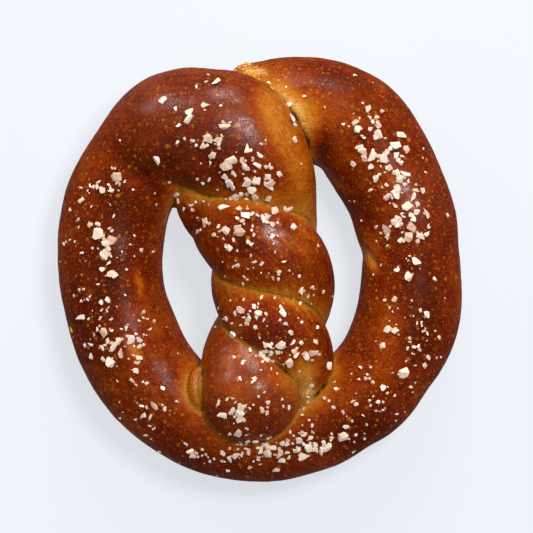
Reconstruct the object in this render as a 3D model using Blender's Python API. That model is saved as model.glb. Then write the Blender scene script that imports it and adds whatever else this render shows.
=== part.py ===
"""A soft pretzel: one rope of dough laid in a ring, whose two ends cross at the top, twist round each
other down the middle and are pressed onto the bottom of the ring.

It lies on its baked underside with the salted side up. The origin is at the middle of its footprint on the
surface it lies on; +X is to the right, +Y towards the crossing and +Z up. Metres.
"""

import math

import bmesh
import bpy
import numpy as np

MM = 0.001

# Driving dimensions, in millimetres.
RING_HALF_WIDTH = 45.8  # centreline of the rope, across the ring
RING_HALF_LENGTH = 49.7
RING_CENTRE = (0.5, -0.4)
RING_SQUARENESS = (2.14, 0.10, 0.12)  # superellipse power: mean, then its swing along Y and along X
RING_HEIGHT = 12.5  # centreline above the baking tray
DOUGH_FLATNESS = 0.88  # height of the rope over its width
TO_CENTRE = (-0.16, 0.18)  # brings the middle of the footprint to the origin

TWIST_TOP = (-2.1, 18.4)  # the axis that the two ends twist round
TWIST_FOOT = (3.1, -29.6)
TWIST_BOW = 3.6  # how far the axis bends to the right at its middle
TWIST_HALF_TURNS = 2.03  # between the top and the foot
TWIST_SPREAD = 6.0  # from the axis to each end's centreline, sideways
TWIST_DEPTH = 6.2  # and up and down
TWIST_HEIGHT = 18.6

# The rope's radius at even steps along each stretch, in millimetres.
RING_RADII = (15.7, 15.7, 15.8, 15.6, 15.2, 15.0, 15.0, 15.0, 15.0, 14.9, 15.0, 15.2, 15.0, 14.7, 15.3)
OVER_TWIST_RADII = (13.5, 13.3, 12.9, 12.5, 12.2, 12.3, 12.9, 13.3, 13.2)
UNDER_TWIST_RADII = (14.2, 15.2, 15.4, 14.2, 12.9, 12.9, 13.7, 14.6)
RING_ARC = (175.0, 382.0)  # degrees, from the left shoulder round the bottom to the right shoulder

# Stations of the shoulders and the two ends: x, y, height and radius, in millimetres.
OVER_SHOULDER = (
    (-43.4, 18.6, 12.8, 16.4),
    (-35.0, 33.6, 15.0, 16.9),
    (-25.6, 42.1, 20.0, 18.1),
    (-15.0, 42.4, 25.0, 18.1),
    (-7.9, 39.5, 25.6, 19.2),
    (3.5, 29.7, 26.7, 12.7),
)
UNDER_SHOULDER = (
    (28.8, 43.5, 13.0, 16.4),
    (14.0, 48.4, 13.0, 16.4),
    (2.0, 45.4, 12.5, 16.0),
    (-7.7, 38.3, 11.8, 13.4),
    (-13.6, 22.2, 17.8, 12.6),
)
TAIL = (
    (3.5, -38.3, 14.1, 13.5),
    (-5.8, -39.5, 15.0, 9.0),
    (-13.2, -37.7, 18.0, 6.5),
    (-16.2, -36.2, 20.0, 4.2),
)
KNOB = (
    (-3.8, -29.3, 20.7, 13.7),
    (-2.4, -37.9, 25.8, 14.7),
)

ROPE_STEP = 4.6  # spacing of the sections along the rope
SIDES = 20
END_RINGS = 5  # sections that round off each end
CRUST_COLOUR = (0.245, 0.068, 0.014, 1.0)


def ring_station(degrees, radius):
    """A point on the ring, a superellipse whose corners are squarer on one side."""
    angle = math.radians(degrees)
    across, along = math.cos(angle), math.sin(angle)
    mean, swing_y, swing_x = RING_SQUARENESS
    power = mean + swing_y * along + swing_x * across
    reach = (abs(across) ** power + abs(along) ** power) ** (-1 / power)
    x = RING_CENTRE[0] + RING_HALF_WIDTH * across * reach
    y = RING_CENTRE[1] + RING_HALF_LENGTH * along * reach
    return (x, y, RING_HEIGHT, radius)


def twist_station(half_turns, side, radius):
    """A point on one of the two ends in the twist. side is 1 for the end that crosses over, -1 for the other."""
    share = half_turns / TWIST_HALF_TURNS
    turn = math.pi * half_turns
    x = TWIST_TOP[0] + (TWIST_FOOT[0] - TWIST_TOP[0]) * share + TWIST_BOW * math.sin(math.pi * share)
    y = TWIST_TOP[1] + (TWIST_FOOT[1] - TWIST_TOP[1]) * share
    x += side * TWIST_SPREAD * math.cos(turn)
    z = TWIST_HEIGHT - side * TWIST_DEPTH * math.sin(turn)
    return (x, y, z, radius)


def rope_stations():
    """Every station of the rope in order, from the tail of the over end to the knob of the under end."""
    quarter = 0.25
    over = [twist_station(i * quarter, 1, r) for i, r in enumerate(OVER_TWIST_RADII)]
    under = [twist_station(i * quarter, -1, r) for i, r in enumerate(UNDER_TWIST_RADII)]
    angles = np.linspace(*RING_ARC, len(RING_RADII))
    ring = [ring_station(a, r) for a, r in zip(angles, RING_RADII)]
    return [
        *reversed(TAIL),
        *reversed(over),
        *reversed(OVER_SHOULDER),
        *ring,
        *UNDER_SHOULDER,
        *under,
        *KNOB,
    ]


def smooth_through(stations, step):
    """Even samples of a smooth curve through the stations, their radius carried along."""
    points = np.array(stations)
    gaps = np.sqrt(np.linalg.norm(np.diff(points[:, :3], axis=0), axis=1))
    knots = np.concatenate([[0], np.cumsum(gaps)])
    slopes = np.gradient(points, knots, axis=0)
    dense = []
    for i, gap in enumerate(gaps):
        u = np.linspace(0, 1, 24, endpoint=False)[:, None]
        start, end = points[i], points[i + 1]
        lean_in, lean_out = slopes[i] * gap, slopes[i + 1] * gap
        dense.append(
            (2 * u**3 - 3 * u**2 + 1) * start
            + (u**3 - 2 * u**2 + u) * lean_in
            + (3 * u**2 - 2 * u**3) * end
            + (u**3 - u**2) * lean_out
        )
    curve = np.vstack([*dense, points[-1:]])
    lengths = np.linalg.norm(np.diff(curve[:, :3], axis=0), axis=1)
    along = np.concatenate([[0], np.cumsum(lengths)])
    count = round(along[-1] / step) + 1
    even = np.linspace(0, along[-1], count)
    return np.stack([np.interp(even, along, curve[:, k]) for k in range(4)], axis=1)


def round_end(tip, inner):
    """Sections beyond the rope's tip that close it with a half ball."""
    outward = tip[:3] - inner[:3]
    outward /= np.linalg.norm(outward)
    sections = []
    for i in range(1, END_RINGS + 1):
        turn = math.radians(84) * i / END_RINGS
        centre = tip[:3] + outward * tip[3] * math.sin(turn)
        sections.append([*centre, tip[3] * math.cos(turn)])
    return np.array(sections)


def rope_sections():
    """Centre and radius of every section of the rope, with its rounded ends."""
    body = smooth_through(rope_stations(), ROPE_STEP)
    body[:, :2] += TO_CENTRE
    tail_end = round_end(body[0], body[1])[::-1]
    knob_end = round_end(body[-1], body[-2])
    return np.vstack([tail_end, body, knob_end])


def crust_material():
    material = bpy.data.materials.new("crust")
    material.use_nodes = True
    shader = material.node_tree.nodes["Principled BSDF"]
    shader.inputs["Base Color"].default_value = CRUST_COLOUR
    shader.inputs["Roughness"].default_value = 0.35
    shader.inputs["Metallic"].default_value = 0.0
    return material


def rope_curve(collection):
    """The rope as a round tube on a poly spline, drawn tall so that flattening it gives the true section."""
    curve = bpy.data.curves.new("rope", "CURVE")
    curve.dimensions = "3D"
    curve.bevel_depth = MM
    curve.bevel_resolution = SIDES // 2 - 2
    curve.use_fill_caps = True
    sections = rope_sections()
    spline = curve.splines.new("POLY")
    spline.points.add(len(sections) - 1)
    for point, (x, y, z, radius) in zip(spline.points, sections):
        point.co = (x * MM, y * MM, z * MM / DOUGH_FLATNESS, 1)
        point.radius = radius
    tube = bpy.data.objects.new("rope", curve)
    tube.scale = (1, 1, DOUGH_FLATNESS)
    collection.objects.link(tube)
    return tube


def as_mesh(tube, name, collection):
    """The tube's mesh, with its caps welded on and its flattening applied."""
    bpy.context.view_layer.update()
    evaluated = tube.evaluated_get(bpy.context.evaluated_depsgraph_get())
    mesh = bpy.data.meshes.new_from_object(evaluated)
    mesh.transform(tube.matrix_world)
    shell = bmesh.new()
    shell.from_mesh(mesh)
    bmesh.ops.remove_doubles(shell, verts=shell.verts, dist=0.01 * MM)
    shell.to_mesh(mesh)
    shell.free()
    bpy.data.objects.remove(tube)
    solid = bpy.data.objects.new(name, mesh)
    collection.objects.link(solid)
    return solid


def tray_cutter(collection):
    """A block whose top is the baking tray, which flattens the underside."""
    size, depth = 200 * MM, 20 * MM
    bpy.ops.mesh.primitive_cube_add(size=1, location=(0, 0, -depth / 2))
    tray = bpy.context.active_object
    tray.name = "tray"
    tray.scale = (size, size, depth)
    tray.hide_render = True
    tray.display_type = "WIRE"
    for holder in tray.users_collection:
        holder.objects.unlink(tray)
    collection.objects.link(tray)
    return tray


def main():
    for thing in list(bpy.data.objects):
        bpy.data.objects.remove(thing)
    parts = bpy.data.collections.new("soft_pretzel")
    cutters = bpy.data.collections.new("cutters")
    for group in (parts, cutters):
        bpy.context.scene.collection.children.link(group)

    pretzel = as_mesh(rope_curve(parts), "pretzel", parts)
    pretzel.data.materials.clear()
    pretzel.data.materials.append(crust_material())
    press = pretzel.modifiers.new("press_on_tray", "BOOLEAN")
    press.operation = "DIFFERENCE"
    press.solver = "EXACT"
    press.use_self = True
    press.object = tray_cutter(cutters)
    pretzel.data.shade_smooth()


main()
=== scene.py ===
"""The looks of a soft pretzel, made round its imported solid: lye-browned crust, folds, blisters and salt.

The dough is rolled as one rope along the same path as the solid, fused where its strands touch, and then
shaped by hand-sized lumps, stretch marks and folds. Lengths are in millimetres until a mesh is written.
"""

import itertools
import math

import bmesh
import bpy
import numpy as np
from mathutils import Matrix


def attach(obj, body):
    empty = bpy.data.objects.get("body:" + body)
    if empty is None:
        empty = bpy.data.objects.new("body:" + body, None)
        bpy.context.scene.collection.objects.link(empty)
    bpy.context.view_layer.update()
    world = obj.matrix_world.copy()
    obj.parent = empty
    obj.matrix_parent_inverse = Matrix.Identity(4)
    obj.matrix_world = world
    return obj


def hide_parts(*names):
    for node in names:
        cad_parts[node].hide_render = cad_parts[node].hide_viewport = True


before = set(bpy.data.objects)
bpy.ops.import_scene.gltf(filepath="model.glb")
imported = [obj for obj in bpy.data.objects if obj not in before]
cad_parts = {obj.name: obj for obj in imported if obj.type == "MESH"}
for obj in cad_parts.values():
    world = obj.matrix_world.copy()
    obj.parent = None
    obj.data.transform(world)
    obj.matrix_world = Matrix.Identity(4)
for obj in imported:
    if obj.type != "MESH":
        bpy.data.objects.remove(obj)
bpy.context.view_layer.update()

MM = 0.001

# ---------------------------------------------------------------------------------------------------------
# The rope's path, as the solid has it
# ---------------------------------------------------------------------------------------------------------
RING_HALF_WIDTH = 45.8
RING_HALF_LENGTH = 49.7
RING_CENTRE = (0.5, -0.4)
RING_SQUARENESS = (2.14, 0.10, 0.12)
RING_HEIGHT = 12.5
DOUGH_FLATNESS = 0.88
TO_CENTRE = (-0.16, 0.18)

TWIST_TOP = (-2.1, 18.4)
TWIST_FOOT = (3.1, -29.6)
TWIST_BOW = 3.6
TWIST_HALF_TURNS = 2.03
TWIST_SPREAD = 6.0
TWIST_DEPTH = 6.2
TWIST_HEIGHT = 18.6

RING_RADII = (15.7, 15.7, 15.8, 15.6, 15.2, 15.0, 15.0, 15.0, 15.0, 14.9, 15.0, 15.2, 15.0, 14.7, 15.3)
OVER_TWIST_RADII = (13.5, 13.3, 12.9, 12.5, 12.2, 12.3, 12.9, 13.3, 13.2)
UNDER_TWIST_RADII = (14.2, 15.2, 15.4, 14.2, 12.9, 12.9, 13.7, 14.6)
RING_ARC = (175.0, 382.0)

OVER_SHOULDER = (
    (-43.4, 18.6, 12.8, 16.4),
    (-35.0, 33.6, 15.0, 16.9),
    (-25.6, 42.1, 20.0, 18.1),
    (-15.0, 42.4, 25.0, 18.1),
    (-7.9, 39.5, 25.6, 19.2),
    (3.5, 29.7, 26.7, 12.7),
)
UNDER_SHOULDER = (
    (28.8, 43.5, 13.0, 16.4),
    (14.0, 48.4, 13.0, 16.4),
    (2.0, 45.4, 12.5, 16.0),
    (-7.7, 38.3, 11.8, 13.4),
    (-13.6, 22.2, 17.8, 12.6),
)
TAIL = (
    (3.5, -38.3, 14.1, 13.5),
    (-5.8, -39.5, 15.0, 9.0),
    (-13.2, -37.7, 18.0, 6.5),
    (-16.2, -36.2, 20.0, 4.2),
)
KNOB = (
    (-3.8, -29.3, 20.7, 13.7),
    (-2.4, -37.9, 25.8, 14.7),
)
# The torn lip of the tail, which curls up beside the knob, and the fold inside it.
TAIL_LIP = (
    (-17.9, -30.6, 23.0, 1.3),
    (-19.3, -32.3, 24.2, 1.7),
    (-19.8, -35.1, 24.8, 1.9),
    (-19.6, -38.1, 25.0, 1.9),
    (-18.5, -40.9, 24.8, 1.7),
    (-17.0, -43.0, 24.0, 1.2),
)
TAIL_FOLD = (
    (-16.9, -32.0, 24.6, 1.3),
    (-17.1, -35.7, 25.6, 1.7),
    (-16.6, -38.9, 25.8, 1.7),
    (-15.5, -41.8, 25.2, 1.3),
)

SECTION_STEP = 0.8  # between the samples of the rope that its surface is measured from
SECTION_SIDES = 48
ROPE_GAP = 500.0  # added along the rope between one roll of dough and the next
SAME_STRETCH = 26.0  # nearer than this along the rope, two places belong to one strand
SKIN_CELL = 0.73  # size of the faces of the crust
CREASE_RADIUS = 1.5  # how softly two strands run into each other


def ring_station(degrees, radius):
    angle = math.radians(degrees)
    across, along = math.cos(angle), math.sin(angle)
    mean, swing_y, swing_x = RING_SQUARENESS
    power = mean + swing_y * along + swing_x * across
    reach = (abs(across) ** power + abs(along) ** power) ** (-1 / power)
    x = RING_CENTRE[0] + RING_HALF_WIDTH * across * reach
    y = RING_CENTRE[1] + RING_HALF_LENGTH * along * reach
    return (x, y, RING_HEIGHT, radius)


def twist_station(half_turns, side, radius):
    """A point on one of the two ends in the twist. side is 1 for the end that crosses over, -1 for the other."""
    share = half_turns / TWIST_HALF_TURNS
    turn = math.pi * half_turns
    x = TWIST_TOP[0] + (TWIST_FOOT[0] - TWIST_TOP[0]) * share + TWIST_BOW * math.sin(math.pi * share)
    y = TWIST_TOP[1] + (TWIST_FOOT[1] - TWIST_TOP[1]) * share
    x += side * TWIST_SPREAD * math.cos(turn)
    z = TWIST_HEIGHT - side * TWIST_DEPTH * math.sin(turn)
    return (x, y, z, radius)


def rope_stations():
    """Every station of the rope in order, from the tail of the over end to the knob of the under end."""
    quarter = 0.25
    over = [twist_station(i * quarter, 1, r) for i, r in enumerate(OVER_TWIST_RADII)]
    under = [twist_station(i * quarter, -1, r) for i, r in enumerate(UNDER_TWIST_RADII)]
    angles = np.linspace(*RING_ARC, len(RING_RADII))
    ring = [ring_station(a, r) for a, r in zip(angles, RING_RADII)]
    return [*reversed(TAIL), *reversed(over), *reversed(OVER_SHOULDER), *ring, *UNDER_SHOULDER, *under, *KNOB]


def smooth_through(stations, step):
    """Even samples of a smooth curve through the stations, their radius carried along."""
    points = np.array(stations)
    gaps = np.sqrt(np.linalg.norm(np.diff(points[:, :3], axis=0), axis=1))
    knots = np.concatenate([[0], np.cumsum(gaps)])
    slopes = np.gradient(points, knots, axis=0)
    dense = []
    for i, gap in enumerate(gaps):
        u = np.linspace(0, 1, 24, endpoint=False)[:, None]
        start, end = points[i], points[i + 1]
        lean_in, lean_out = slopes[i] * gap, slopes[i + 1] * gap
        dense.append(
            (2 * u**3 - 3 * u**2 + 1) * start
            + (u**3 - 2 * u**2 + u) * lean_in
            + (3 * u**2 - 2 * u**3) * end
            + (u**3 - u**2) * lean_out
        )
    curve = np.vstack([*dense, points[-1:]])
    lengths = np.linalg.norm(np.diff(curve[:, :3], axis=0), axis=1)
    along = np.concatenate([[0], np.cumsum(lengths)])
    count = round(along[-1] / step) + 1
    even = np.linspace(0, along[-1], count)
    return np.stack([np.interp(even, along, curve[:, k]) for k in range(4)], axis=1)


def dough_rolls(step):
    """The rope and the two small rolls of its torn tail, as sections from end to end."""
    rolls = [smooth_through(stations, step) for stations in (rope_stations(), TAIL_LIP, TAIL_FOLD)]
    for roll in rolls:
        roll[:, :2] += TO_CENTRE
    return rolls


def unit(vectors):
    return vectors / np.maximum(np.linalg.norm(vectors, axis=-1, keepdims=True), 1e-9)


class Strands:
    """Samples of every roll of dough, in a space stretched upwards so that the flattened sections are round."""

    def __init__(self, rolls):
        centres, tangents, along = [], [], []
        for i, roll in enumerate(rolls):
            centre = roll[:, :3] / (1, 1, DOUGH_FLATNESS)
            centres.append(centre)
            tangents.append(unit(np.gradient(centre, axis=0)))
            along.append(i * ROPE_GAP + np.arange(len(roll)) * SECTION_STEP)
        self.centre = np.vstack(centres)
        self.radius = np.concatenate([roll[:, 3] for roll in rolls])
        self.tangent = np.vstack(tangents)
        self.along = np.concatenate(along)

    def nearest(self, points):
        """For each point: the nearest sample, the nearest one of another strand, and how far both surfaces are."""
        found = []
        for part in np.array_split(points, max(1, len(points) // 4000)):
            away = np.sqrt(
                np.maximum(
                    (part**2).sum(1)[:, None] + (self.centre**2).sum(1) - 2 * part @ self.centre.T, 1e-9
                )
            )
            away -= self.radius
            first = away.argmin(1)
            rows = np.arange(len(part))
            gap_first = away[rows, first]
            away[np.abs(self.along[None, :] - self.along[first][:, None]) < SAME_STRETCH] = 1e3
            second = away.argmin(1)
            found.append((first, second, gap_first, away[rows, second]))
        return [np.concatenate(column) for column in zip(*found)]


def fuse_onto(points, strands):
    """Moves points in the stretched space onto the softly joined surface of the strands."""
    for _ in range(4):
        first, second, near, far = strands.nearest(points)
        share = np.clip(0.5 + 0.5 * (far - near) / CREASE_RADIUS, 0, 1)
        field = far * (1 - share) + near * share - CREASE_RADIUS * share * (1 - share)
        slope = (
            unit(points - strands.centre[first]) * share[:, None]
            + unit(points - strands.centre[second]) * (1 - share)[:, None]
        )
        length = np.maximum((slope**2).sum(1), 0.25)
        points = points - slope * np.clip(field / length, -1, 1)[:, None]
    return points


def gradient_noise(points, size, seed):
    """A smooth random field from about -1 to 1, with bumps about one size across."""
    dice = np.random.default_rng(seed)
    table = dice.permutation(256)
    leans = unit(dice.normal(size=(256, 3)))
    scaled = points / size + 100
    cell = np.floor(scaled).astype(int)
    local = scaled - cell
    fade = local**3 * (local * (local * 6 - 15) + 10)
    total = np.zeros(len(points))
    for corner in itertools.product((0, 1), repeat=3):
        x, y, z = (cell + corner).T & 255
        lean = leans[table[(table[(table[x] + y) & 255] + z) & 255]]
        weight = np.where(corner, fade, 1 - fade).prod(1)
        total += weight * ((local - corner) * lean).sum(1)
    return total * 1.6


def layered_noise(points, size, seed, layers=3):
    total = np.zeros(len(points))
    for i in range(layers):
        total += gradient_noise(points, size / 2**i, seed + i) / 2**i
    return total / 1.5


# ---------------------------------------------------------------------------------------------------------
# Nodes
# ---------------------------------------------------------------------------------------------------------
class Wire:
    """One socket of a node, which Python's operators turn into Math nodes."""

    def __init__(self, graph, socket):
        self.graph = graph
        self.socket = socket

    def maths(self, operation, *values):
        return self.graph.add("ShaderNodeMath", {"operation": operation}, dict(enumerate((self, *values))))

    def __add__(self, other):
        return self.maths("ADD", other)

    def __sub__(self, other):
        return self.maths("SUBTRACT", other)

    def __rsub__(self, other):
        return self.graph.add("ShaderNodeMath", {"operation": "SUBTRACT"}, {0: other, 1: self})

    def __mul__(self, other):
        return self.maths("MULTIPLY", other)

    def __truediv__(self, other):
        return self.maths("DIVIDE", other)

    def __pow__(self, other):
        return self.maths("POWER", other)

    __radd__ = __add__
    __rmul__ = __mul__

    def clamp(self):
        return self.graph.add("ShaderNodeClamp", {}, {"Value": self})

    def ramp(self, low, high, start=0.0, end=1.0):
        """From start to end, smoothly, as the value goes from low to high."""
        sockets = {"Value": self, "From Min": low, "From Max": high, "To Min": start, "To Max": end}
        return self.graph.add("ShaderNodeMapRange", {"interpolation_type": "SMOOTHSTEP"}, sockets)


class Graph:
    """A node tree that is filled by calls: each one returns the new node's output as a Wire."""

    def __init__(self, tree):
        self.tree = tree
        self.nodes = tree.nodes

    def add(self, kind, settings=None, sockets=None, output=0):
        node = self.nodes.new(kind)
        for name, value in (settings or {}).items():
            setattr(node, name, value)
        for key, value in (sockets or {}).items():
            if isinstance(value, Wire):
                self.tree.links.new(value.socket, node.inputs[key])
            else:
                node.inputs[key].default_value = value
        outputs = [socket for socket in node.outputs if socket.enabled]
        found = node.outputs[output] if isinstance(output, str) else outputs[output]
        return Wire(self, found)

    def branch(self, wire, output):
        """Another output of the node that a wire comes from."""
        return Wire(self, wire.socket.node.outputs[output])

    def blend(self, low, high, share, mode="MIX"):
        settings = {"data_type": "RGBA", "blend_type": mode}
        return self.add("ShaderNodeMix", settings, {0: share, 6: low, 7: high})

    def ramp_colours(self, wire, stops):
        """A colour for each value of a wire, from (place, colour) stops."""
        node = self.nodes.new("ShaderNodeValToRGB")
        while len(node.color_ramp.elements) < len(stops):
            node.color_ramp.elements.new(0.5)
        for element, (place, colour) in zip(node.color_ramp.elements, stops):
            element.position = place
            element.color = colour
        self.tree.links.new(wire.socket, node.inputs[0])
        return Wire(self, node.outputs[0])

    def attribute(self, name, output="Fac"):
        return self.add("ShaderNodeAttribute", {"attribute_name": name}, {}, output)

    def noise(self, place, per_metre, detail=3.0, roughness=0.5):
        sockets = {"Vector": place, "Scale": per_metre, "Detail": detail, "Roughness": roughness}
        return self.add("ShaderNodeTexNoise", {}, sockets, "Fac")


def colour(red, green, blue):
    """A colour on the 0 to 255 display scale, as Blender's linear one."""
    linear = [(v / 255 / 12.92) if v <= 10 else ((v / 255 + 0.055) / 1.055) ** 2.4 for v in (red, green, blue)]
    return (*linear, 1.0)


def new_material(name):
    material = bpy.data.materials.new(name)
    material.use_nodes = True
    graph = Graph(material.node_tree)
    return material, graph, graph.nodes["Principled BSDF"]


def feed(graph, shader, **wires):
    """Links wires to the shader's sockets, and sets plain values on them. Base_Color means Base Color."""
    for name, value in wires.items():
        socket = shader.inputs[name.replace("_", " ")]
        if isinstance(value, Wire):
            graph.tree.links.new(value.socket, socket)
        else:
            socket.default_value = value


def geometry_tree(name, inputs):
    """An empty tree with a geometry input and output and the named inputs. Returns it, its graph and its inputs."""
    tree = bpy.data.node_groups.new(name, "GeometryNodeTree")
    tree.interface.new_socket("Geometry", in_out="INPUT", socket_type="NodeSocketGeometry")
    for label, kind in inputs.items():
        tree.interface.new_socket(label, in_out="INPUT", socket_type="NodeSocket" + kind)
    tree.interface.new_socket("Geometry", in_out="OUTPUT", socket_type="NodeSocketGeometry")
    graph = Graph(tree)
    source = tree.nodes.new("NodeGroupInput")
    wires = {socket.name: Wire(graph, socket) for socket in source.outputs if socket.name}
    return tree, graph, wires


def finish_tree(graph, geometry, material):
    """Ends a tree with Realize Instances and Set Material."""
    whole = graph.add("GeometryNodeRealizeInstances", {}, {"Geometry": geometry})
    dressed = graph.add("GeometryNodeSetMaterial", {}, {"Geometry": whole, "Material": material})
    end = graph.nodes.new("NodeGroupOutput")
    graph.tree.links.new(dressed.socket, end.inputs["Geometry"])


def grown(thing, tree, values, name):
    """The plain mesh that a tree makes of an object, as a new object. The first object is removed."""
    modifier = thing.modifiers.new(tree.name, "NODES")
    modifier.node_group = tree
    for item in tree.interface.items_tree:
        if item.in_out == "INPUT" and item.name in values:
            modifier[item.identifier] = values[item.name]
    return baked(thing, name)


def baked(thing, name):
    """The evaluated mesh of an object as a new plain object at the origin. The first object is removed."""
    bpy.context.view_layer.update()
    mesh = bpy.data.meshes.new_from_object(thing.evaluated_get(bpy.context.evaluated_depsgraph_get()))
    mesh.transform(thing.matrix_world)
    bpy.data.objects.remove(thing)
    mesh.name = name
    made = bpy.data.objects.new(name, mesh)
    bpy.context.scene.collection.objects.link(made)
    return made


# ---------------------------------------------------------------------------------------------------------
# The dough's shape
# ---------------------------------------------------------------------------------------------------------
# Stretch marks and folds: points on plan, half width, depth (below the crust is positive), paleness (below 0 the groove
# is darkened with painted shade).
FOLDS = {
    "left_stretch_mark": (((-41.0, -18.5), (-39.2, -22.0), (-36.8, -25.5), (-36.6, -29.5)), 1.3, 0.45, 0.8),
    "left_fine_crease": (((-36.6, -29.5), (-34.8, -33.0), (-31.5, -36.5), (-29.3, -40.5)), 0.6, 0.35, 0.25),
    "left_upper_streak": (((-37.5, 1.0), (-36.6, -4.0), (-36.0, -9.5)), 1.2, 0.25, 0.6),
    "left_outer_streak": (((-52.5, -4.5), (-51.5, -8.5)), 1.3, 0.2, 0.5),
    "right_shoulder_line": (((18.5, 31.5), (22.0, 28.0), (25.5, 25.2), (30.5, 22.8)), 0.9, 0.45, 0.45),
    "right_shoulder_crease": (((24.5, 36.5), (31.0, 33.5), (38.5, 29.5), (44.0, 24.0)), 0.9, 0.22, 0.3),
    "right_notch": (((31.0, 7.2), (32.8, 5.0), (34.8, 2.2), (36.3, -1.2)), 1.1, 0.7, 0.75),
    "under_strand_wrinkle": (((0.5, 12.5), (6.0, 10.0), (11.5, 6.8), (17.0, 3.0)), 1.0, 0.3, 0.15),
    "under_strand_line": (((9.0, 14.5), (14.0, 11.0), (18.5, 7.5)), 0.8, 0.25, 0.3),
    "over_strand_fold": (((-24.0, 25.5), (-27.5, 26.3), (-32.0, 27.6)), 1.0, 0.4, 0.1),
    # Painted shade: the valley between the lobe and the ring is darkened.
    "inner_corner_valley": (((-41.5, 36.5), (-37.5, 30.5), (-33.5, 26.0), (-28.0, 22.5)), 2.6, 0.6, -0.10),
}
# Places where the crust is lighter (below 0) or darker (above 0): golden or dark baking, and in the marked ones painted
# shade or a painted highlight: x, y, reach across, reach along, amount.
TONES_AND_PAINTED_LIGHT = (
    (2.5, 49.0, 4.0, 7.0, -0.34),
    (7.0, 41.0, 5.0, 8.0, -0.46),
    (12.0, 31.0, 5.0, 8.0, -0.42),
    (14.5, 22.0, 4.0, 6.0, -0.34),
    (14.0, 48.0, 5.0, 8.0, -0.36),
    (9.5, 52.0, 4.0, 4.0, -0.12),
    # Painted shade in the dark gap beside the lobe.
    (18.5, 37.0, 3.0, 5.0, 0.45),
    (28.0, 46.0, 7.0, 3.0, -0.08),
    # Painted highlight on the under strand.
    (4.7, 9.0, 4.0, 4.0, -0.16),
    # Painted highlight on the middle of the knob.
    (-7.0, -37.0, 6.0, 5.0, -0.12),
    (-12.0, -47.0, 5.0, 3.0, -0.10),
    (-4.5, -21.5, 6.0, 2.5, 0.18),
    (7.0, 50.0, 3.5, 5.0, -0.18),
    (33.0, 4.0, 4.0, 5.0, -0.26),
    (37.5, -22.0, 6.0, 9.0, -0.20),
    (47.5, 21.0, 4.0, 8.0, -0.10),
    (40.0, -43.0, 5.0, 5.0, -0.08),
    (24.0, -38.0, 8.0, 7.0, -0.12),
    (16.0, -22.0, 4.0, 7.0, -0.12),
    (14.5, -31.0, 4.5, 4.5, -0.42),
    (-6.0, -27.0, 8.0, 4.0, -0.08),
    (-4.5, -6.0, 7.0, 3.0, 0.14),
    (8.0, -33.0, 6.0, 4.0, -0.20),
    (11.0, -41.0, 3.0, 7.0, -0.24),
    (-21.0, -35.0, 4.0, 9.0, -0.25),
    (12.0, 8.0, 6.0, 3.0, -0.14),
    (5.0, 22.0, 9.0, 3.0, -0.20),
    (-17.0, 22.5, 6.0, 3.0, -0.28),
    (-13.0, 33.0, 10.0, 9.0, 0.24),
    (-18.0, 55.0, 8.0, 5.0, 0.16),
    (-30.0, 34.0, 8.0, 8.0, 0.12),
    (-52.0, -18.0, 8.0, 18.0, 0.20),
    (-46.0, 3.0, 6.0, 8.0, 0.14),
    # Painted shade on the shaded right side of the ring.
    (48.0, -8.0, 9.0, 20.0, 0.16),
    (50.0, -20.0, 6.0, 7.0, 0.10),
    # Painted shade on the shaded lower side of the ring.
    (30.0, -50.0, 14.0, 9.0, 0.20),
    (36.0, -44.0, 8.0, 8.0, 0.08),
    (42.0, 40.0, 9.0, 9.0, 0.12),
    (22.0, 58.0, 7.0, 4.0, 0.24),
    (-42.0, 19.0, 8.0, 12.0, 0.17),
    (-5.0, -45.0, 9.0, 6.0, 0.12),
    (24.0, 24.0, 6.0, 7.0, 0.14),
    (4.0, -19.0, 8.0, 4.0, 0.18),
    (-6.0, 6.0, 8.0, 5.0, 0.12),
    (-10.0, -62.0, 26.0, 4.0, 0.22),
    (-18.0, -55.0, 8.0, 4.0, 0.08),
)
# Lumps and dents: centre, reach and height, in millimetres.
LUMPS = (
    ((30.5, 11.5, 13.0), 5.0, 0.9),
    ((31.8, 4.0, 13.0), 3.0, -0.7),
    ((40.5, -51.0, 6.0), 3.5, 1.2),
    ((33.0, -54.0, 12.0), 7.0, -1.4),
    ((20.0, -61.0, 9.0), 9.0, -0.7),
    ((60.5, -18.0, 13.0), 14.0, 1.4),
    ((51.5, -38.0, 13.0), 7.0, -0.6),
    ((44.5, 50.5, 13.0), 7.0, 0.3),
    ((-61.0, 4.0, 13.0), 14.0, 0.7),
    ((-58.0, -17.0, 13.0), 10.0, -0.5),
    ((-40.0, -50.0, 13.0), 14.0, 0.3),
    ((-5.5, 60.5, 13.0), 4.5, 2.2),
    ((2.0, 63.5, 13.0), 7.0, 0.9),
    ((-16.0, 62.0, 14.0), 9.0, 0.9),
    ((-26.8, -14.0, 13.0), 9.0, 0.9),
    ((-26.0, 18.5, 14.0), 5.0, -1.6),
    ((-18.5, 8.0, 15.0), 5.5, 1.0),
    ((16.5, 37.0, 19.0), 4.2, -2.6),
    ((18.0, 33.0, 14.0), 4.0, -2.0),
    ((-8.0, 40.0, 42.0), 8.0, -0.8),
)
# Where two strands pinch a deeper gap between them, darkened with painted shade: x, y, reach across, reach along,
# width.
PINCHES = (
    (15.0, 37.5, 3.0, 6.0, 1.5),
    (11.0, 45.5, 2.5, 4.0, 0.9),
    (17.5, -33.5, 3.5, 5.5, 1.0),
    (-16.0, -30.0, 2.0, 3.0, 0.8),
    (9.0, -29.5, 4.0, 3.0, 0.7),
    (-30.0, 23.0, 3.0, 3.0, 1.0),
)
# Torn places where the pale crumb shows: x, y, reach across, reach along.
TEARS = (
    (-7.0, 61.6, 5.0, 1.3),
    (-1.0, 60.0, 3.5, 1.2),
    (14.8, -36.8, 2.2, 3.4),
)
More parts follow.
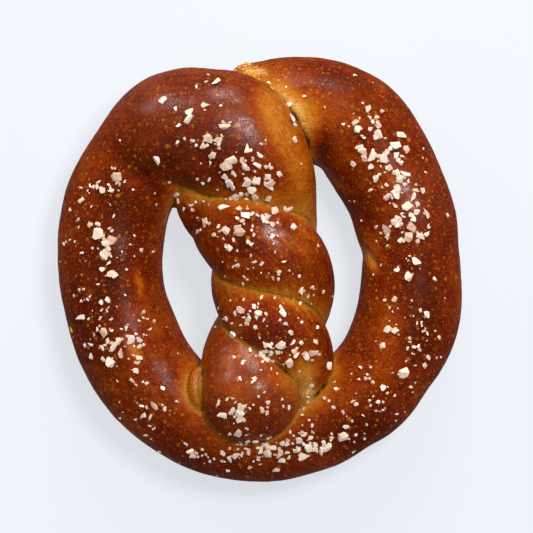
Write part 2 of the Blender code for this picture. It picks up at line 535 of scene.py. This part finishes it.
# Places where the crust is glossy enough to show the windows: x, y, reach across, reach along, gloss.
GLOSS = (
    (-33.0, 54.0, 13.0, 9.0, 1.0),
    (-17.0, 46.0, 16.0, 12.0, 1.0),
    (4.0, 46.0, 6.0, 8.0, 0.4),
    (6.5, 10.5, 6.0, 6.0, 0.9),
    (-8.0, -30.0, 10.0, 11.0, 1.0),
    (5.0, -38.0, 7.0, 7.0, 0.6),
    (40.0, 34.0, 7.0, 9.0, 0.15),
    (47.0, 22.0, 7.0, 9.0, 0.7),
    (49.0, -6.0, 5.0, 5.0, 0.1),
    (32.0, 3.0, 4.0, 6.0, 0.4),
    (23.0, 56.0, 9.0, 5.0, 0.25),
    (8.0, 58.0, 11.0, 5.0, 0.2),
    (-42.0, 8.0, 4.0, 9.0, 0.3),
    (-40.0, -15.0, 4.0, 9.0, 0.2),
    (-30.0, -33.0, 5.0, 8.0, 0.2),
)
# Places where the dough is drawn into fine wrinkles along the rope: x, y, reach across, reach along.
WRINKLES = (
    (6.0, 62.0, 11.0, 4.0),
    (-3.0, 56.0, 8.0, 6.0),
    (7.0, 40.0, 4.0, 9.0),
    (-27.0, 54.0, 12.0, 6.0),
    (38.0, 36.0, 6.0, 10.0),
    (5.0, 7.0, 15.0, 6.0),
    (14.0, -12.0, 7.0, 8.0),
)


def near_path(points, path):
    """How far each point is, on plan, from a path of straight runs, and how far along the path it lies, 0 to 1."""
    best = np.full(len(points), 1e3)
    place = np.zeros(len(points))
    for i, (start, end) in enumerate(zip(path, path[1:])):
        start, end = np.array(start), np.array(end)
        run = end - start
        share = np.clip(((points[:, :2] - start) @ run) / (run @ run), 0, 1)
        away = np.linalg.norm(points[:, :2] - start - share[:, None] * run, axis=1)
        place = np.where(away < best, (i + share) / (len(path) - 1), place)
        best = np.minimum(best, away)
    return best, place


def bell(distance, reach):
    return np.exp(-((distance / reach) ** 2))


def patch_at(points, x, y, across, upwards):
    """A soft oval patch on plan, 1 at its middle."""
    return np.exp(-(((points[:, 0] - x) / across) ** 2) - ((points[:, 1] - y) / upwards) ** 2)


def highest_patch(points, patches):
    """The strongest of several patches at each point."""
    return np.max([patch_at(points, *patch) for patch in patches], axis=0)


def weighted_patch(points, patches):
    """The strongest of several patches, each with its own weight last, at each point."""
    return np.max([patch_at(points, *place) * weight for *place, weight in patches], axis=0)


def read_points(mesh, what="co"):
    flat = np.empty(len(mesh.vertices) * 3)
    mesh.vertices.foreach_get(what, flat)
    return flat.reshape(-1, 3)


def write_points(mesh, points):
    mesh.vertices.foreach_set("co", (points * MM).ravel())
    mesh.update()


def store(mesh, name, values, kind="FLOAT"):
    attribute = mesh.attributes.new(name, kind, "POINT")
    attribute.data.foreach_set("vector" if kind == "FLOAT_VECTOR" else "value", np.ascontiguousarray(values).ravel())


def rope_tree():
    """Rolls each curve into a tube of its own radius, with closed ends."""
    tree, graph, given = geometry_tree("rolled_dough", {"Sides": "Int", "Crust": "Material"})
    circle = graph.add("GeometryNodeCurvePrimitiveCircle", {}, {"Resolution": given["Sides"], "Radius": MM})
    radius = graph.add("GeometryNodeInputRadius")
    sockets = {"Curve": given["Geometry"], "Profile Curve": circle, "Scale": radius, "Fill Caps": True}
    tube = graph.add("GeometryNodeCurveToMesh", {}, sockets)
    flat = graph.add("GeometryNodeTransform", {}, {"Geometry": tube, "Scale": (1, 1, DOUGH_FLATNESS)})
    finish_tree(graph, flat, given["Crust"])
    return tree


def round_ends(roll):
    """Sections beyond both ends of a roll that close it with half balls."""
    ends = []
    for tip, inner in ((roll[0], roll[1]), (roll[-1], roll[-2])):
        outward = unit(tip[:3] - inner[:3])
        turns = np.radians(np.linspace(10, 85, 8))
        ends.append([[*(tip[:3] + outward * tip[3] * math.sin(t)), tip[3] * math.cos(t)] for t in turns])
    return np.vstack([ends[0][::-1], roll, ends[1]])


def rolled_dough(rolls, crust):
    """The tubes of every roll, still lying through each other."""
    curve = bpy.data.curves.new("rolls", "CURVE")
    curve.dimensions = "3D"
    for roll in rolls:
        sections = round_ends(roll)
        spline = curve.splines.new("POLY")
        spline.points.add(len(sections) - 1)
        for point, (x, y, z, radius) in zip(spline.points, sections):
            point.co = (x * MM, y * MM, z * MM / DOUGH_FLATNESS, 1)
            point.radius = radius
    path = bpy.data.objects.new("rolls", curve)
    bpy.context.scene.collection.objects.link(path)
    return grown(path, rope_tree(), {"Sides": SECTION_SIDES, "Crust": crust}, "dough")


def fused_dough(rolls, crust):
    """One closed skin round all the rolls, with even faces."""
    tubes = rolled_dough(rolls, crust)
    remesh = tubes.modifiers.new("fuse", "REMESH")
    remesh.mode = "VOXEL"
    remesh.voxel_size = SKIN_CELL * MM
    return baked(tubes, "pretzel_dough")


def shape_dough(mesh, strands):
    """Fuses, folds and lumps the skin, and notes on it what the crust needs to know."""
    points = read_points(mesh) / MM
    stretched = fuse_onto(points / (1, 1, DOUGH_FLATNESS), strands)
    write_points(mesh, stretched * (1, 1, DOUGH_FLATNESS))
    normals = read_points(mesh, "normal")
    first, second, near, far = strands.nearest(stretched)
    points = stretched * (1, 1, DOUGH_FLATNESS)

    tangent = strands.tangent[first]
    offset = stretched - strands.centre[first]
    along = strands.along[first] + (offset * tangent).sum(1)
    sideways = unit(np.cross(tangent, (0, 0, 1)))
    rope_place = np.stack([along, (offset * sideways).sum(1), (offset * np.cross(sideways, tangent)).sum(1)], axis=1)
    tucked = strands.centre[second][:, 2] > strands.centre[first][:, 2]
    facing_up = np.clip(normals[:, 2], 0, 1)

    uneven = 1 + 0.4 * gradient_noise(points, 7, 13)
    golden = np.exp(-((far / (np.where(tucked, 3.6, 2.7) * uneven)) ** 1.4))
    small_roll = np.isin(np.floor(strands.along[first] / ROPE_GAP), (1, 2)) | np.isin(
        np.floor(strands.along[second] / ROPE_GAP), (1, 2)
    )
    golden *= np.where(small_roll, 0.45, 1.0)
    bake_and_painted_light = 0.74 + 0.10 * (normals[:, 2] - 0.4)
    bake_and_painted_light += 0.13 * layered_noise(points, 16, 11) + 0.05 * gradient_noise(points, 5, 12)
    pale = np.zeros(len(points))
    groove_shade = np.zeros(len(points))
    lift = 0.15 + 0.45 * gradient_noise(points, 24, 21) + 0.22 * gradient_noise(points, 10, 22)
    lift += 0.06 * layered_noise(points, 4, 23) + 0.045 * gradient_noise(points, 2.2, 24)
    for path, half_width, depth, paleness in FOLDS.values():
        away, place = near_path(points, path)
        taper = np.sin(math.pi * np.clip(place, 0, 1)) ** 0.6 * (facing_up > 0)
        wander = 1 + 0.35 * gradient_noise(points, 3.5, 31)
        groove = bell(away, half_width * wander) * taper
        lip = bell(away - 2.2 * half_width, half_width) * taper
        lift += 0.35 * depth * lip - depth * groove
        pale = np.maximum(pale, groove * paleness)
        # Painted shade where a groove's paleness is below 0.
        groove_shade = np.maximum(groove_shade, -groove * paleness)
    # Baking tones, with painted shade and painted highlights among them.
    for x, y, across, upwards, amount in TONES_AND_PAINTED_LIGHT:
        bake_and_painted_light += amount * patch_at(points, x, y, across, upwards) * (0.25 + 0.75 * facing_up)
    for centre, reach, height in LUMPS:
        lift += height * bell(np.linalg.norm(points - centre, axis=1), reach)
    torn = highest_patch(points, TEARS) * (normals[:, 2] > -0.3)
    torn = np.clip(torn * (1.3 + 0.8 * gradient_noise(points, 1.6, 41)) - 0.25, 0, 1)
    lift += torn * 0.5 * gradient_noise(points, 1.5, 42)

    wrinkle = highest_patch(points, WRINKLES)
    streaks = gradient_noise(rope_place / (7, 1.1, 1.1), 1, 51)
    lift += streaks * (0.10 * bell(far, 7.0) + 0.05 * wrinkle + 0.02)
    pinch_and_shade = weighted_patch(points, PINCHES)
    gloss = weighted_patch(points, GLOSS)
    lift -= (0.45 + 0.9 * np.minimum(pinch_and_shade, 1)) * bell(far - CREASE_RADIUS / 4, 0.6)
    points = points + normals * lift[:, None]
    points[:, 2] = np.maximum(points[:, 2], 0)
    write_points(mesh, points)

    store(mesh, "bake_and_painted_light", np.clip(bake_and_painted_light + groove_shade, 0, 1))
    store(mesh, "golden", np.clip(golden, 0, 1))
    store(mesh, "gap", np.clip(far, 0, 50))
    store(mesh, "pale", np.clip(pale, 0, 1))
    store(mesh, "torn", torn)
    store(mesh, "wrinkle", np.clip(wrinkle, 0, 1))
    store(mesh, "pinch_and_shade", pinch_and_shade)
    store(mesh, "gloss", gloss)
    store(mesh, "rope_place", rope_place * MM, "FLOAT_VECTOR")
    mesh.shade_smooth()


# ---------------------------------------------------------------------------------------------------------
# Finishes
# ---------------------------------------------------------------------------------------------------------
CRUST_TONES = (
    (0.00, colour(222, 168, 88)),
    (0.18, colour(202, 134, 46)),
    (0.38, colour(184, 102, 20)),
    (0.60, colour(154, 63, 3)),
    (0.80, colour(114, 31, 0)),
    (1.00, colour(76, 16, 0)),
)
BLISTER = colour(208, 120, 20)
SEAM = colour(176, 112, 30)
# Painted shade for the dark line in the creases.
CREASE_SHADE = colour(62, 30, 6)
SHEEN = (1.0, 0.62, 0.42, 1.0)
CRUMB = colour(234, 190, 116)
TRAY_SIDE = colour(128, 72, 34)


def blisters(graph, place, per_metre, smallest, largest, share):
    """Round blisters, one in some of the cells of a random pattern. 1 on top of each and 0 between them."""
    settings = {"feature": "F1", "voronoi_dimensions": "3D"}
    sockets = {"Vector": place, "Scale": per_metre, "Randomness": 1.0}
    distance = graph.add("ShaderNodeTexVoronoi", settings, sockets, "Distance")
    cell = graph.add("ShaderNodeSeparateColor", {}, {0: graph.branch(distance, "Color")}, "Red")
    there = graph.branch(cell, "Green").maths("LESS_THAN", share)
    radius = cell * (largest - smallest) + smallest
    return (1 - distance / radius).ramp(0.0, 0.55) * there


def crust_material():
    material, graph, shader = new_material("lye_crust")
    place = graph.add("ShaderNodeTexCoord", {}, {}, "Object")
    rope = graph.attribute("rope_place", "Vector")
    golden, gap, pale, torn = (graph.attribute(n) for n in ("golden", "gap", "pale", "torn"))
    wrinkle, pinch_and_shade, gloss = (graph.attribute(n) for n in ("wrinkle", "pinch_and_shade", "gloss"))
    stretched = graph.add("ShaderNodeVectorMath", {"operation": "MULTIPLY"}, {0: rope, 1: (0.13, 1, 1)})
    streak = graph.noise(stretched, 1000.0, 3.0)
    cloud = graph.noise(place, 110.0, 3.0, 0.5)
    mottle = graph.noise(place, 520.0, 4.0, 0.6)
    grain = graph.noise(place, 1900.0, 3.0, 0.65)
    speck = graph.noise(place, 3600.0, 2.0, 0.6)

    bake_and_painted_light = graph.attribute("bake_and_painted_light") + (cloud - 0.5) * 0.35 + (mottle - 0.5) * 0.44 + (grain - 0.5) * 0.40 + (speck - 0.5) * 0.36
    bake_and_painted_light = bake_and_painted_light - golden * 0.50 - pale * 0.55 + (streak - 0.5) * (golden * 0.35 + wrinkle * 0.5 + 0.10)
    tone = graph.ramp_colours(bake_and_painted_light.clamp(), CRUST_TONES)

    density = (cloud - 0.30).ramp(0.0, 0.35, 0.45, 0.9)
    large = blisters(graph, place, 330.0, 0.12, 0.34, density * 0.55)
    medium = blisters(graph, place, 560.0, 0.16, 0.42, density)
    small = blisters(graph, place, 1050.0, 0.16, 0.44, density)
    fine = blisters(graph, place, 1900.0, 0.20, 0.46, density * 0.7)
    spots = large.maths("MAXIMUM", medium * 0.9).maths("MAXIMUM", small * 0.65).maths("MAXIMUM", fine * 0.5)
    tone = graph.blend(tone, BLISTER, (spots * mottle.ramp(0.3, 0.7, 0.25, 0.75)).clamp())
    seam = gap.ramp(0.55, 1.5, 1.0, 0.0) * mottle.ramp(0.25, 0.6, 0.55, 0.9)
    tone = graph.blend(tone, SEAM, seam.clamp())
    # Painted shade: a dark line where two strands meet, wider where they pinch.
    crease_shade = gap.ramp(0.33, 0.60 + pinch_and_shade * 0.9, 1.0, 0.0) * (mottle.ramp(0.35, 0.6) + pinch_and_shade)
    tone = graph.blend(tone, CREASE_SHADE, (crease_shade * 0.85).clamp())
    tone = graph.blend(tone, graph.blend(CRUMB, CRUST_TONES[1][1], grain.ramp(0.44, 0.62)), torn)

    normal = graph.add("ShaderNodeNewGeometry", {}, {}, "Normal")
    down = graph.add("ShaderNodeSeparateXYZ", {}, {0: normal}, "Z").ramp(-0.75, -0.35, 1.0, 0.0)
    tray = graph.blend(tone, TRAY_SIDE, down * 0.7)
    rough = graph.noise(place, 260.0, 4.0).ramp(0.35, 0.65, 0.18, 0.40)
    rough = rough + golden * 0.12 + torn * 0.35 + down * 0.25

    height = spots * 0.00012 + (grain - 0.5) * 0.00042 + (mottle - 0.5) * 0.00055 + (speck - 0.5) * 0.00020
    height = height + (streak - 0.5) * (golden * 0.00022 + wrinkle * 0.00055 + 0.00006)
    bump = graph.add("ShaderNodeBump", {}, {"Strength": 1.0, "Distance": 1.0, "Height": height})
    feed(graph, shader, Base_Color=tray, Roughness=rough.clamp(), Normal=bump)
    feed(graph, shader, Coat_Weight=(gloss * mottle.ramp(0.34, 0.60, 0.5, 1.2) * grain.ramp(0.38, 0.60, 0.15, 1.4) * speck.ramp(0.36, 0.6, 0.5, 1.4)).clamp(), Coat_Roughness=0.30)
    feed(graph, shader, IOR=1.30, Specular_IOR_Level=0.3, Specular_Tint=SHEEN)
    feed(graph, shader, Subsurface_Weight=0.05, Subsurface_Scale=0.0015, Subsurface_Radius=(1.0, 0.35, 0.12))
    return material


def salt_material():
    material, graph, shader = new_material("coarse_salt")
    place = graph.add("ShaderNodeTexCoord", {}, {}, "Object")
    kind = graph.attribute("grain")
    frost = graph.noise(place, 1500.0, 4.0, 0.6)
    white = graph.blend(colour(238, 210, 186), colour(244, 230, 214), frost)
    clear = graph.blend(colour(214, 164, 138), colour(234, 200, 176), frost.ramp(0.35, 0.65))
    body = graph.blend(white, clear, kind.ramp(0.45, 0.95))
    height = frost * 0.00012 + graph.noise(place, 5200.0, 2.0) * 0.00004
    bump = graph.add("ShaderNodeBump", {}, {"Strength": 0.8, "Distance": 1.0, "Height": height})
    feed(graph, shader, Base_Color=body, Roughness=frost.ramp(0.3, 0.7, 0.35, 0.6), Normal=bump)
    feed(graph, shader, Subsurface_Weight=0.3, Subsurface_Scale=0.0006, Subsurface_Radius=(1.0, 0.85, 0.75))
    # Painted light: a faint warm glow lifts the shaded sides of the salt.
    feed(graph, shader, Emission_Color=(1.0, 0.72, 0.55, 1.0), Emission_Strength=0.03)
    return material


# ---------------------------------------------------------------------------------------------------------
# Salt
# ---------------------------------------------------------------------------------------------------------
# Handfuls of salt as they fell: x, y, reach across, reach along, grains, usual size.
SALT = (
    (-43, 26, 4.5, 2.2, 21, 0.98),
    (-15, 51, 5.0, 6.0, 8, 1.16),
    (-14, 44, 5.0, 3.0, 7, 1.16),
    (-47, 11, 2.2, 3.5, 17, 1.34),
    (-53, 19, 3.0, 3.5, 5, 0.89),
    (-58, 9, 1.5, 1.0, 4, 0.81),
    (-49, 2, 3.5, 3.0, 7, 1.07),
    (-48, -9, 4.0, 3.5, 15, 0.98),
    (-45, -22, 5.0, 4.5, 34, 1.16),
    (-37, -23, 3.2, 4.5, 16, 0.98),
    (-34, -39, 3.5, 5.0, 18, 0.98),
    (-24, -53, 8.0, 3.5, 25, 0.98),
    (-14, 38, 5.0, 2.8, 17, 1.07),
    (-4, 29, 6.5, 5.0, 44, 1.34),
    (-18, 21, 4.0, 4.5, 17, 0.98),
    (-4, 15, 4.0, 5.0, 28, 1.42),
    (7, 14, 5.5, 3.5, 12, 0.98),
    (-14, 11, 4.5, 4.0, 10, 0.71),
    (0, -1, 8.0, 2.8, 25, 0.81),
    (14, -6, 5.0, 2.0, 7, 0.89),
    (1, -14, 6.0, 3.2, 41, 0.89),
    (4, -25, 5.0, 2.6, 34, 1.07),
    (15, -23, 2.5, 5.0, 10, 1.34),
    (-5, -44, 4.5, 4.0, 36, 1.03),
    (0, -35, 5.5, 3.0, 10, 0.63),
    (4, -53.5, 10.5, 2.4, 62, 1.09),
    (15, -52, 4.0, 2.6, 22, 1.09),
    (-8, -57.5, 7.0, 1.6, 10, 0.89),
    (19, -44, 6.0, 4.0, 14, 0.81),
    (31, 50, 3.0, 4.0, 9, 0.81),
    (34, 39, 4.0, 5.0, 38, 1.16),
    (42, 28, 3.8, 4.5, 28, 1.16),
    (45, 16, 4.5, 4.5, 37, 1.34),
    (45, 4, 4.5, 3.5, 8, 1.07),
    (41, -12, 5.0, 5.0, 9, 0.98),
    (48, -22, 4.5, 5.0, 32, 0.89),
    (37, -39, 4.5, 5.0, 28, 0.89),
    (28, -42, 7.0, 7.0, 12, 0.89),
    (10, 47, 2.5, 5.0, 4, 0.89),
    (0, 0, 30.0, 34.0, 69, 0.63),
    (-44, -14, 6.0, 22.0, 30, 0.63),
    (40, -16, 9.0, 26.0, 34, 0.63),
)
# Orange crumbs of torn crust, in the same way.
CRUMBS = (
    (-8.0, 61.8, 3.6, 0.7, 26, 0.8),
    (-1.5, 60.3, 2.6, 0.8, 12, 0.6),
    (3.5, 55.0, 1.6, 2.4, 9, 0.5),
    (-57.6, -18.0, 0.5, 1.0, 5, 0.9),
    (-54.5, 4.0, 2.0, 6.0, 3, 0.8),
    (40.0, -10.0, 12.0, 22.0, 5, 0.5),
)
# The biggest grains, set down one by one: x, y, size.
LARGE_GRAINS = (
    (-49, 11, 3.2), (-46, 7, 2.6), (-47, -19, 2.8), (-42, -25, 2.7), (-43, 28, 2.6), (-45, -1, 2.6),
    (-21, 45, 3.0), (-16, 49, 2.7), (-29, 51, 2.4), (-31, 33, 2.8), (-13, 56, 2.7), (-15, 39, 3.0),
    (-9, 26, 2.9), (-4, 26, 2.7), (-6, 11, 3.0), (-4, 16, 3.2), (-7, 22, 2.6), (3, 26, 2.5), (-1, 31, 2.4),
    (7, -13, 2.5), (9, -28, 2.3), (21, -29, 2.4), (-6, -43, 2.8), (-11, -44, 3.0), (-6, -49, 2.8),
    (6, -56, 2.9), (15, -54, 2.8), (-7, -56, 2.7), (-21, -55, 2.4), (19, -55, 2.4), (-32, -41, 2.6),
    (46, 13, 2.9), (50, 17, 2.8), (42, 14, 2.6), (44, 29, 2.5), (39, 22, 2.5), (31, 36, 2.5), (39, -18, 2.5),
    (9, 50, 2.2), (36, 41, 2.3), (14, -26, 2.3), (49, 10, 2.4), (-54, 21, 2.1), (5, -61, 2.2),
)
GRAIN_SHAPES = 12
SALT_SEED = 7


def chip_corners(dice, half):
    """Corners for a chipped block of salt: boxy, but no two of its edges quite square."""
    corners = dice.uniform(-1, 1, (14, 3))
    corners /= (np.abs(corners) ** 6).sum(1, keepdims=True) ** (1 / 6)
    corners[:, 2] = np.sign(corners[:, 2]) * np.maximum(np.abs(corners[:, 2]), 0.75)
    return corners * half


def grain_shapes():
    """A few blocky grains of salt, about one unit across. Some are rods, some flakes, some two grains in one."""
    dice = np.random.default_rng(SALT_SEED)
    halves = ((0.54, 0.50, 0.26), (0.57, 0.43, 0.28), (0.60, 0.33, 0.24), (0.50, 0.48, 0.20))
    shapes = bpy.data.collections.new("grain_shapes")
    for i in range(GRAIN_SHAPES):
        shell = bmesh.new()
        for lump in range(1 + i // 8):
            half = np.array(halves[(i + lump) % len(halves)]) * (1.0 - 0.2 * lump)
            offset = lump * dice.uniform(-0.45, 0.45, 3) * (1, 1, 0.3)
            turn = dice.uniform(-1, 1) * lump
            spin = np.array(((math.cos(turn), -math.sin(turn), 0), (math.sin(turn), math.cos(turn), 0), (0, 0, 1)))
            made = [shell.verts.new(spin @ corner + offset) for corner in chip_corners(dice, half)]
            hull = bmesh.ops.convex_hull(shell, input=made)
            spare = [v for v in hull["geom_interior"] + hull["geom_unused"] if isinstance(v, bmesh.types.BMVert)]
            bmesh.ops.delete(shell, geom=list(set(spare)), context="VERTS")
        bmesh.ops.dissolve_limit(shell, angle_limit=math.radians(8), verts=shell.verts, edges=shell.edges)
        bmesh.ops.bevel(shell, geom=shell.edges[:], offset=0.03, segments=1, affect="EDGES", clamp_overlap=True)
        bmesh.ops.triangulate(shell, faces=shell.faces)
        mesh = bpy.data.meshes.new(f"grain_{i}")
        shell.to_mesh(mesh)
        shell.free()
        shapes.objects.link(bpy.data.objects.new(f"grain_{i:02d}", mesh))
    return shapes


def scattered(dice, handfuls):
    """Where grains fall and how big they are: x, y and size."""
    grains = []
    for x, y, across, upwards, count, usual in handfuls:
        spots = dice.normal((x, y), (across, upwards), (count, 2))
        sizes = np.clip(1.12 * usual * dice.lognormal(0, 0.42, count), 0.5, 3.0)
        grains.append(np.column_stack([spots, sizes]))
    return np.vstack(grains)


def scatter_tree():
    """Drops each point straight down onto the dough and sets a randomly turned grain there, a little sunk in."""
    inputs = {"Dough": "Object", "Shapes": "Collection", "Finish": "Material", "Seed": "Int"}
    inputs |= {"Sink": "Float", "Steepest": "Float"}
    tree, graph, given = geometry_tree("sprinkled", inputs)
    dough = graph.add("GeometryNodeObjectInfo", {"transform_space": "RELATIVE"}, {"Object": given["Dough"]}, "Geometry")
    shapes = graph.add(
        "GeometryNodeCollectionInfo", {}, {"Collection": given["Shapes"], "Separate Children": True, "Reset Children": True}
    )
    fall = graph.add(
        "GeometryNodeRaycast", {}, {"Target Geometry": dough, "Ray Direction": (0, 0, -1), "Ray Length": 1.0}, "Is Hit"
    )
    vector = {"data_type": "FLOAT_VECTOR", "domain": "POINT"}
    size = graph.add("GeometryNodeInputNamedAttribute", {"data_type": "FLOAT"}, {"Name": "size"})
    sockets = {"Geometry": given["Geometry"], "Name": "lean", "Value": graph.branch(fall, "Hit Normal")}
    leaning = graph.add("GeometryNodeStoreNamedAttribute", vector, sockets)
    depth = graph.add(
        "ShaderNodeVectorMath", {"operation": "SCALE"}, {0: graph.branch(fall, "Hit Normal"), "Scale": size * given["Sink"]}
    )
    landed = graph.add(
        "ShaderNodeVectorMath", {"operation": "SUBTRACT"}, {0: graph.branch(fall, "Hit Position"), 1: depth}
    )
    up = graph.add("ShaderNodeSeparateXYZ", {}, {0: graph.branch(fall, "Hit Normal")}, "Z")
    lost = (up * fall).maths("LESS_THAN", given["Steepest"])
    moved = graph.add("GeometryNodeSetPosition", {}, {"Geometry": leaning, "Position": landed})
    store_lost = {"Geometry": moved, "Selection": lost}
    hits = graph.add("GeometryNodeDeleteGeometry", {"domain": "POINT"}, store_lost)
    lean = graph.add("GeometryNodeInputNamedAttribute", vector_kind(), {"Name": "lean"})
    upright = graph.add("FunctionNodeAlignRotationToVector", {"axis": "Z"}, {"Vector": lean})
    spin = graph.add(
        "FunctionNodeRandomValue", {"data_type": "FLOAT_VECTOR"},
        {"Min": (-0.35, -0.35, -3.14), "Max": (0.35, 0.35, 3.14), "Seed": given["Seed"]},
    )
    turned = graph.add(
        "FunctionNodeRotateRotation", {"rotation_space": "LOCAL"},
        {"Rotation": upright, "Rotate By": graph.add("FunctionNodeEulerToRotation", {}, {0: spin})},
    )
    stretch = graph.add(
        "FunctionNodeRandomValue", {"data_type": "FLOAT_VECTOR"},
        {"Min": (0.85, 0.78, 0.75), "Max": (1.22, 1.12, 1.15), "Seed": given["Seed"] + 1},
    )
    scale = graph.add("ShaderNodeVectorMath", {"operation": "SCALE"}, {0: stretch, "Scale": size})
    pick = graph.add(
        "FunctionNodeRandomValue", {"data_type": "INT"},
        {"Min": 0, "Max": GRAIN_SHAPES - 1, "Seed": given["Seed"] + 2},
    )
    grains = graph.add(
        "GeometryNodeInstanceOnPoints", {},
        {"Points": hits, "Instance": shapes, "Pick Instance": True, "Instance Index": pick, "Rotation": turned, "Scale": scale},
    )
    kind = graph.add("FunctionNodeRandomValue", {"data_type": "FLOAT"}, {"Seed": given["Seed"] + 3})
    named = graph.add(
        "GeometryNodeStoreNamedAttribute", {"data_type": "FLOAT", "domain": "INSTANCE"},
        {"Geometry": grains, "Name": "grain", "Value": kind},
    )
    finish_tree(graph, named, given["Finish"])
    return tree


def vector_kind():
    return {"data_type": "FLOAT_VECTOR"}


def crumb_material():
    material, graph, shader = new_material("torn_crust")
    place = graph.add("ShaderNodeTexCoord", {}, {}, "Object")
    kind = graph.attribute("grain")
    grain = graph.noise(place, 1800.0, 3.0)
    body = graph.blend(colour(206, 122, 30), colour(242, 186, 92), (grain * 0.6 + kind * 0.5).clamp())
    bump = graph.add("ShaderNodeBump", {}, {"Strength": 1.0, "Distance": 1.0, "Height": grain * 0.0003})
    feed(graph, shader, Base_Color=body, Roughness=0.7, Normal=bump, Specular_IOR_Level=0.25)
    return material


def sprinkle(name, grains, dough, shapes, finish, seed):
    """Grains (x, y, size) on the dough, as one mesh."""
    mesh = bpy.data.meshes.new(name)
    high = np.column_stack([grains[:, :2], np.full(len(grains), 100.0)])
    mesh.from_pydata((high * MM).tolist(), [], [])
    store(mesh, "size", grains[:, 2] * MM)
    points = bpy.data.objects.new(name, mesh)
    bpy.context.scene.collection.objects.link(points)
    values = {"Dough": dough, "Shapes": shapes, "Finish": finish, "Seed": seed, "Sink": -0.12, "Steepest": 0.3}
    return grown(points, scatter_tree(), values, name)


# ---------------------------------------------------------------------------------------------------------
# The table, the light and the camera
# ---------------------------------------------------------------------------------------------------------
def floor():
    material, graph, shader = new_material("pale_board")
    place = graph.add("ShaderNodeTexCoord", {}, {}, "Object")
    shade = graph.noise(place, 3.0, 2.0)
    feed(graph, shader, Base_Color=graph.blend(colour(118, 120, 123), colour(123, 125, 128), shade), Roughness=0.8)
    feed(graph, shader, Emission_Color=(0.90, 0.94, 1.0, 1.0), Emission_Strength=0.72, Specular_IOR_Level=0.2)
    mesh = bpy.data.meshes.new("floor")
    half = 4.0
    mesh.from_pydata([(-half, -half, 0), (half, -half, 0), (half, half, 0), (-half, half, 0)], [], [(0, 1, 2, 3)])
    mesh.materials.append(material)
    board = bpy.data.objects.new("floor", mesh)
    bpy.context.scene.collection.objects.link(board)
    board.visible_glossy = False


def lamp(name, place, size, watts, tint=(1.0, 1.0, 1.0)):
    """A square softbox that faces the middle of the object."""
    light = bpy.data.lights.new(name, "AREA")
    light.size = size
    light.energy = watts
    light.color = tint
    box = bpy.data.objects.new(name, light)
    from mathutils import Vector

    spot = Vector(place)
    box.location = spot
    box.rotation_mode = "QUATERNION"
    box.rotation_quaternion = (Vector((0, 0, 0.02)) - spot).to_track_quat("-Z", "Y")
    box.visible_camera = False
    bpy.context.scene.collection.objects.link(box)
    return box


def light_and_view():
    lamp("front_window", (0.31, 0.28, 0.94), 0.28, 8.0, (1.0, 0.99, 0.97))
    lamp("top_window", (0.05, 0.80, 0.40), 0.40, 4.6, (1.0, 0.97, 0.93))
    lamp("upper_left_window", (-0.50, 0.46, 0.34), 0.24, 1.2, (0.96, 0.98, 1.0))
    fill = lamp("over_camera", (-0.15, -0.10, 1.2), 0.9, 1.6)
    fill.visible_glossy = False
    world = bpy.data.worlds.new("studio")
    world.use_nodes = True
    background = world.node_tree.nodes["Background"]
    background.inputs["Color"].default_value = (0.90, 0.93, 1.0, 1.0)
    background.inputs["Strength"].default_value = 0.14
    scene = bpy.context.scene
    scene.world = world
    scene.view_settings.view_transform = "Standard"

    camera = bpy.data.cameras.new("camera")
    camera.sensor_width = 36.0
    camera.lens = 250.0
    view = bpy.data.objects.new("camera", camera)
    width = 0.1634
    view.location = (0.00214, 0.00095, 0.013 + width * camera.lens / camera.sensor_width)
    scene.collection.objects.link(view)
    scene.camera = view


# ---------------------------------------------------------------------------------------------------------
def main():
    crust = crust_material()
    salt = salt_material()
    rolls = dough_rolls(SECTION_STEP)
    dough = fused_dough(rolls, crust)
    shape_dough(dough.data, Strands(rolls))

    dice = np.random.default_rng(SALT_SEED)
    grains = np.vstack([scattered(dice, SALT), np.array(LARGE_GRAINS, float)])
    shapes = grain_shapes()
    grit = sprinkle("salt_grains", grains, dough, shapes, salt, SALT_SEED)

    torn_crust = crumb_material()
    bits = sprinkle("crust_crumbs", scattered(dice, CRUMBS), dough, shapes, torn_crust, SALT_SEED + 9)

    for piece, slot in ((dough, "crust"), (grit, "salt"), (bits, "crust")):
        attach(piece, "root")
    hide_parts("pretzel")
    floor()
    light_and_view()
    print("TRIS dough", sum(len(p.vertices) - 2 for p in dough.data.polygons))
    print("TRIS salt", sum(len(p.vertices) - 2 for p in grit.data.polygons))


main()
